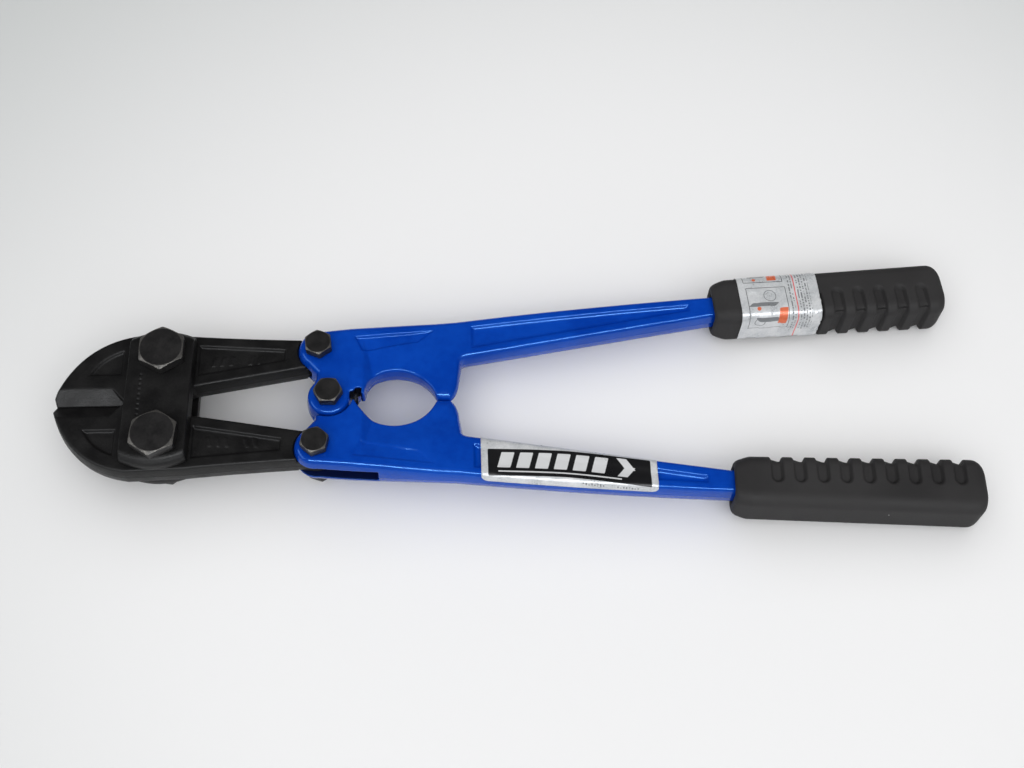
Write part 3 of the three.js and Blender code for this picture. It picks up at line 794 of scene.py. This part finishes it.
# A split spring washer: a softened square section carried round nearly a full turn while it rises a little.
# The section shrinks to a point just past each end to close it.
def springWasherPoints(inner, outer, low, high):
    turn = np.linspace(0.14, 2 * pi - 0.14, 90)
    turn = np.concatenate([turn[:1], turn[:1], turn, turn[-1:], turn[-1:]])
    size = np.concatenate([[0, 0.9], np.ones(90), [0.9, 0]])
    side = np.arange(16) / 16 * 2 * pi
    across = np.sign(np.cos(side)) * np.abs(np.cos(side)) ** 0.35 * (outer - inner) / 2
    upward = np.sign(np.sin(side)) * np.abs(np.sin(side)) ** 0.35 * (high - low - 0.3) / 2
    lift = (low + high) / 2 + 0.3 * (turn - pi) / (2 * pi)
    radius = (inner + outer) / 2 + size[:, None] * across
    height = lift[:, None] + size[:, None] * upward
    return np.stack([radius * np.cos(turn)[:, None], radius * np.sin(turn)[:, None], height], axis=2)


def makeFasteners(steel):
    for name, (size, body, turn) in fasteners.items():
        bolt, washer, nut = (drawnBox(f"{name}_{part}") for part in ("bolt", "washer", "nut"))
        place = np.append(bolt.mean(0)[:2], 0)
        under = bolt[1][2] - size["head"]
        stack = under - washer[1][2] - 0.3
        shapes = {"bolt": boltPoints(size, stack, under - bolt[0][2]) + [0, 0, under]}
        shapes["nut"] = nutPoints(size, nut[0][2], nut[1][2])
        hole = size["thread"] + 0.3
        if name == "center":
            shapes["washer"] = plainWasherPoints(hole, size["thread"] * 2.1, washer[0][2], washer[1][2])
        else:
            shapes["washer"] = springWasherPoints(hole, size["thread"] * 1.7, washer[0][2], washer[1][2])
        for part, extra in (("bolt", 0), ("washer", 0.9), ("nut", 0.35)):
            rows, columns = shapes[part].shape[:2]
            c, s = math.cos(turn + extra), math.sin(turn + extra)
            points = shapes[part].reshape(-1, 3) @ np.array([(c, s, 0), (-s, c, 0), (0, 0, 1)]) + place
            words = name.split("_") + [part]
            label = words[0] + "".join(word.capitalize() for word in words[1:])
            addPiece(label, points, gridFaces(rows, columns), body, [f"{name}_{part}"], steel,
                     weld=True)


grip = {
    "start": (155.5, 39.9), "tilt": math.radians(3.05), "length": 96.0, "half": 10.0, "chamfer": 2.7,
    "roundEnd": 5.0, "socketEnd": 82.0,
    "grooves": 9, "first": 16.0, "every": 8.75, "width": 4.9, "depth": 1.8, "reach": 12.0,
}
gripInner = ([0, 2, 6, 89.5], [8.4, 9.2, 10.1, 11.2])         # half-width on the side with the grooves
gripOuter = ([0, 2, 6, 89.5], [8.6, 9.6, 10.4, 11.5])         # and on the other side


# Closed sections of an eight-sided bar, one for each row of half-widths and half-thickness: straight sides
# between corners that are each a quadratic curve from one side to the next.
def barSections(inner, outer, half, chamfer, soft, perSide=(13, 3, 22, 3)):
    cut = chamfer * np.ones_like(half)
    corners = np.stack([
        np.stack([outer, half - cut], 1), np.stack([outer - cut, half], 1),
        np.stack([-inner + cut, half], 1), np.stack([-inner, half - cut], 1),
        np.stack([-inner, -half + cut], 1), np.stack([-inner + cut, -half], 1),
        np.stack([outer - cut, -half], 1), np.stack([outer, -half + cut], 1),
    ], axis=1)
    steps = [perSide[1], perSide[2], perSide[3], perSide[0]] * 2
    before, after = np.roll(corners, 1, axis=1), np.roll(corners, -1, axis=1)
    runs = []
    for index in range(8):
        corner = corners[:, index]
        back, ahead = before[:, index] - corner, after[:, index] - corner
        back *= np.minimum(soft / np.linalg.norm(back, axis=1), 0.45)[:, None]
        ahead *= np.minimum(soft / np.linalg.norm(ahead, axis=1), 0.45)[:, None]
        for t in np.linspace(0, 1, 5):
            runs.append(corner + (1 - t) ** 2 * back + t ** 2 * ahead)
        nextCorner = after[:, index]
        nextBack = corner - nextCorner
        nextBack *= np.minimum(soft / np.linalg.norm(nextBack, axis=1), 0.45)[:, None]
        start, stop = corner + ahead, nextCorner + nextBack
        for t in np.linspace(0, 1, steps[index] + 2)[1:-1]:
            runs.append(start + (stop - start) * t)
    return np.stack(runs, axis=1)


# Outward directions in each section, at right angles to the chord between a point's two neighbours.
def sectionNormals(section):
    chord = np.roll(section, -1, axis=1) - np.roll(section, 1, axis=1)
    normal = np.stack([chord[..., 1], -chord[..., 0]], axis=2)
    return normal / (np.linalg.norm(normal, axis=2, keepdims=True) + 1e-9)


# How deep the grooves are at a place: each falls gently from its near side to a steep far wall, across the
# inner side and the near part of both faces, where its end is round.
def grooveShare(along, across, inner):
    nearest = np.clip(np.round((along - grip["first"]) / grip["every"]), 0, grip["grooves"] - 1)
    offset = along - grip["first"] - nearest * grip["every"]
    beyond = np.maximum(across + inner - grip["reach"] + grip["width"] / 2, 0)
    rim = np.hypot(offset, beyond) - grip["width"] / 2
    return (1 - smoothStep(rim, -0.75, 0.2)) * (0.55 + 0.45 * smoothStep(offset, -grip["width"] / 2, 1.2))


def toDrawing(along, across, height):
    c, s = math.cos(grip["tilt"]), math.sin(grip["tilt"])
    return np.stack([grip["start"][0] + along * c - across * s, grip["start"][1] + along * s + across * c,
                     height], axis=-1)


# The grip's outer size along its length: it swells behind the nose, and its last few millimetres round in
# by 1 - sqrt(1 - t^2).
def gripSize(along):
    t = np.clip((along - grip["length"]) / grip["roundEnd"] + 1, 0, 1)
    roundIn = 1 - np.sqrt(1 - t * t)
    inner = np.interp(along, *gripInner) - 4.4 * roundIn
    outer = np.interp(along, *gripOuter) - 4.8 * roundIn
    nose = 1 - smoothStep(along, 0, 7)
    return inner, outer, grip["half"] - 1.5 * nose ** 1.5 - 2.6 * roundIn


# One closed grid from the bottom of the socket, out over the nose, along the body and in at the far end.
def makeGrips(material):
    step = 0.36 * coarse
    end = grip["length"] - grip["roundEnd"]
    tail = end + grip["roundEnd"] * np.sin(np.linspace(0, pi / 2, 14))
    along = np.concatenate([[0.0, 0.25, 0.6, 1.1], np.arange(1.5, end, step), tail])
    inner, outer, half = gripSize(along)
    inner[:3] -= [0.9, 0.35, 0.1]
    outer[:3] -= [0.9, 0.35, 0.1]
    half[:3] -= [0.8, 0.3, 0.1]
    body = barSections(inner, outer, half, grip["chamfer"], 2.0)
    share = grooveShare(along[:, None], body[..., 0], inner[:, None])
    body = body - sectionNormals(body) * (grip["depth"] * share)[..., None]
    bodyAlong = np.repeat(along[:, None], body.shape[1], axis=1)
    deep, flare = grip["socketEnd"], np.array([0, 0, 0, 0, 0, 0.15, 0.6])
    socketAlong = np.array([deep, deep, 40.0, 8.0, 0.9, 0.35, 0.05])
    socketInner = np.interp(socketAlong, [0, deep], [6.1, 4.1]) + flare
    socketOuter = np.interp(socketAlong, [0, deep], [5.0, 4.7]) + flare
    socketHalf = 5.75 + flare
    socket = barSections(socketInner, socketOuter, socketHalf, 1.1, 0.8)
    socket[0] = socket[0].mean(0)
    socketAlong = np.repeat(socketAlong[:, None], body.shape[1], axis=1)
    capShares = np.array([0.9, 0.6, 0.3, 0.0])[:, None, None]
    capMiddle = body[-1].mean(0)
    cap = capMiddle + (body[-1] - capMiddle) * capShares
    capAlong = np.full(cap.shape[:2], grip["length"])
    section = np.concatenate([socket, body, cap])
    place = np.concatenate([socketAlong, bodyAlong, capAlong])
    points = toDrawing(place, section[..., 0], section[..., 1]).reshape(-1, 3)
    faces = gridFaces(*section.shape[:2])
    for name, placed in (("upper", points), ("lower", rolled(points))):
        addPiece(f"{name}Grip", placed, faces, f"{name}_handle", [f"{name}_grip"], material,
                 weld=True)


gripLabel = {"start": 10.5, "stop": 43.5, "lowest": -7.0, "proud": 0.3, "film": 0.12, "crinkle": 0.22}
shankLabel = {
    "start": 59.0, "stop": 126.5, "down": 2.4, "corner": 2.6, "proud": 0.14, "film": 0.12, "sag": 0.3,
    "from": 54.5, "innerSide": (16.9, 0.178), "outerSide": (35.3, 0.0985),
}


# Length along each row of points from its first point.
def runningLength(points):
    steps = np.linalg.norm(np.diff(points, axis=1), axis=2)
    return np.concatenate([np.zeros((len(points), 1)), np.cumsum(steps, axis=1)], axis=1)


# A band on the grip's own section, a little proud of it, that dips slightly over the grooves and is
# crinkled by crossing waves near its far end.
def makeGripLabel(material):
    along = np.linspace(gripLabel["start"], gripLabel["stop"], 110)
    inner, outer, half = gripSize(along)
    section = barSections(inner, outer, half, grip["chamfer"], 2.0, (26, 6, 40, 6))
    keep = section[0, :, 1] > gripLabel["lowest"]
    first = np.argmax(keep & ~np.roll(keep, 1))
    section = np.roll(section, -first, axis=1)[:, :keep.sum()]
    normal = sectionNormals(section)
    normal[:, 0], normal[:, -1] = normal[:, 1], normal[:, -2]
    share = grooveShare(along[:, None], section[..., 0], inner[:, None])
    girth = runningLength(np.concatenate([section, 0 * section[..., :1]], axis=2))
    fade = smoothStep(along[:, None], gripLabel["stop"] - 9, gripLabel["stop"] - 2)
    row = along[:, None]
    wave = np.sin(girth * 2.1 + 3 * np.sin(row * 0.9)) * np.sin(row * 1.7 + girth * 0.55)
    lift = gripLabel["proud"] - 0.3 * share + gripLabel["crinkle"] * fade * wave * (0.4 + share)
    section = section + normal * lift[..., None]
    place = np.repeat(along[:, None], section.shape[1], axis=1)
    points = toDrawing(place, section[..., 0], section[..., 1])
    printed = np.stack([place - gripLabel["start"], girth[:, ::-1]], axis=2).reshape(-1, 2)
    faces = gridFaces(*section.shape[:2], ring=False)
    addPiece("gripLabel", points.reshape(-1, 3), faces, "upper_handle", ["grip_label"],
             material, film=gripLabel["film"], printed=printed)


# A sheet over the shank's visible face and a little way down both walls: points start on a square bracket
# round the section, slide along the field's slope on to the crowned surface, and sag over the channel. The
# sheet's ends curve in at its corners by R - sqrt(R^2 - d^2).
def makeShankLabel(material):
    rows, columns = 120, 90
    length = np.linspace(0, 1, rows)[:, None]
    across = np.linspace(0, 1, columns)[None, :]
    x = shankLabel["start"] + length * (shankLabel["stop"] - shankLabel["start"]) + 0 * across
    inner, outer = (first + (x - shankLabel["from"]) * slope
                    for first, slope in (shankLabel["innerSide"], shankLabel["outerSide"]))
    down = handle["shankHalf"] - shankLabel["down"]
    travel = across * (outer - inner + 2 * down)
    y = inner + np.clip(travel - down, 0, outer - inner)
    z = -shankLabel["down"] - np.minimum(np.minimum(travel, down), outer - inner + 2 * down - travel)
    edgeRoom = np.minimum(travel, travel[:, -1:] - travel)
    cut = np.maximum(shankLabel["corner"] - edgeRoom, 0)
    inset = shankLabel["corner"] - np.sqrt(shankLabel["corner"] ** 2 - cut ** 2)
    x = x + inset * (1 - 2 * length)
    points = np.stack([x, y, z], axis=2).reshape(-1, 3)
    over = flatDistance(points[:, 0], points[:, 1], channelShape)
    level = shankLabel["proud"] - shankLabel["sag"] * smoothStep(-over, 0, 2.5)
    reach = 0.05
    for _ in range(5):
        away = handleField(*points.T, channel=False)
        sides = [[handleField(*(points + sign * step).T, channel=False) for sign in (1, -1)]
                 for step in reach * np.eye(3)]
        slope = np.stack([(ahead - behind) / (2 * reach) for ahead, behind in sides], axis=1)
        slope[:, 0] = 0
        points -= slope / ((slope ** 2).sum(1, keepdims=True) + 1e-9) * (away - level)[:, None]
    grid = points.reshape(rows, columns, 3)
    wide = runningLength(grid)
    printed = np.stack([grid[..., 0] - shankLabel["start"], wide[:, ::-1]], axis=2).reshape(-1, 2)
    faces = gridFaces(rows, columns, ring=False)
    addPiece("shankLabel", rolled(points), faces, "lower_handle", ["shank_label"], material,
             film=shankLabel["film"], printed=printed)


view = {"place": (53.94, -249.49, 467.61), "lens": 46.85, "down": 1.0674816, "turn": 0.0709115,
        "roll": 0.0426964}
# Each lamp: where it hangs, its width and height, its power, its colour and whether it only lights or only
# shines back from glossy surfaces.
lamps = {
    "overhead": ((0.0, 0.15, 1.3), (3.2, 3.2), 30.0, (1.0, 0.995, 0.985), "light"),
    "frontFill": ((0.0, -1.05, 1.15), (2.6, 1.0), 12.0, (1.0, 0.995, 0.99), "light"),
    "frontBox": ((0.05, -0.95, 1.1), (1.8, 0.17), 19.0, (0.96, 0.98, 1.0), "shine"),
    "leftBox": ((-1.3, -0.2, 0.8), (1.0, 0.5), 4.0, (0.96, 0.98, 1.0), "shine"),
}


def makeCamera():
    down, turn, roll = view["down"], view["turn"], view["roll"]
    ahead = Vector((math.sin(turn) * math.cos(down), math.cos(turn) * math.cos(down), -math.sin(down)))
    level = Vector((math.cos(turn), -math.sin(turn), 0))
    upright = level.cross(ahead)
    right = level * math.cos(roll) + upright * math.sin(roll)
    up = upright * math.cos(roll) - level * math.sin(roll)
    data = bpy.data.cameras.new("camera")
    data.lens, data.sensor_width, data.clip_start = view["lens"], 36, 0.01
    camera = bpy.data.objects.new("camera", data)
    bpy.context.scene.collection.objects.link(camera)
    place = Vector((drawOrigin + view["place"]) * mm)
    camera.matrix_world = Matrix.Translation(place) @ Matrix((right, up, -ahead)).transposed().to_4x4()
    bpy.context.scene.camera = camera


# The lamps, and a tent round them that is bright towards the front and dim behind.
def makeLights():
    for name, (place, size, power, colour, use) in lamps.items():
        data = bpy.data.lights.new(name, "AREA")
        data.shape, data.energy, data.color = "RECTANGLE", power, colour
        data.size, data.size_y = size
        lamp = bpy.data.objects.new(name, data)
        lamp.location = place
        lamp.rotation_euler = (-Vector(place)).to_track_quat("-Z", "Y").to_euler()
        lamp.visible_glossy = use == "shine"
        lamp.visible_diffuse = use == "light"
        bpy.context.scene.collection.objects.link(lamp)
    world = bpy.data.worlds.new("tent")
    world.use_nodes = True
    tree = world.node_tree
    parts = addNode(tree, "SeparateXYZ", {0: addNode(tree, "TexCoord").outputs["Generated"]}).outputs
    front = remap(tree, parts[1], 0.1, -0.9, 0.08, 0.5)
    tree.links.new(front, tree.nodes["Background"].inputs["Strength"])
    tree.nodes["Background"].inputs["Color"].default_value = (0.93, 0.96, 1.0, 1)
    bpy.context.scene.world = world


# Floor colours, pale near the tool and darker far out: a painted pool of light round the tool.
floor = {"reach": 3.0, "middle": (0.05, -0.03, 0.0), "fade": (0.14, 0.5), "near": (0.85, 0.85, 0.855),
         "far": (0.53, 0.55, 0.545)}


# The floor leans so that it touches the jaw bolts' ends and the grips' far ends, as the tool lies. Its colour
# holds
# a painted pool of light: palest round the tool, darker towards the edges.
def makeFloor():
    boltX = (jawPivot[0] + drawOrigin[0] - bigBolt["thread"]) * mm
    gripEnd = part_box("upper_grip")
    slope = gripEnd[0].z / (gripEnd[1].x - boltX)
    sides = (-floor["reach"], floor["reach"])
    grid = [(x, y, (x - boltX) * slope) for x in sides for y in sides]
    mesh = bpy.data.meshes.new("floor")
    mesh.from_pydata(grid, [], [(0, 2, 3, 1)])
    board = bpy.data.objects.new("floor", mesh)
    bpy.context.scene.collection.objects.link(board)
    material, tree, shader = newFinish("paleFloor", {"Roughness": 0.7, "Specular IOR Level": 0.2})
    # Painted pool of light: the colour runs from pale near the tool's middle to darker farther out.
    away = addNode(tree, "VectorMath", {0: objectPlace(tree), 1: floor["middle"]}, operation="DISTANCE")
    share = remap(tree, away.outputs["Value"], *floor["fade"])
    tree.links.new(blendColour(tree, share, floor["near"], floor["far"]), shader.inputs["Base Color"])
    mesh.materials.append(material)


bpy.context.scene.view_settings.view_transform = "Standard"
print("camera, lights and floor")
makeCamera()
makeLights()
makeFloor()
print("handles")
makeHandles(makeEnamel())
print("jaws and straps")
blacked = makeBlackSteel()
makeJaws(blacked)
makeStraps(blacked)
print("bolts, washers and nuts")
makeFasteners(makeBoltSteel())
print("grips and labels")
makeGrips(makeRubber())
makeGripLabel(makeGripPrint())
makeShankLabel(makeShankPrint())
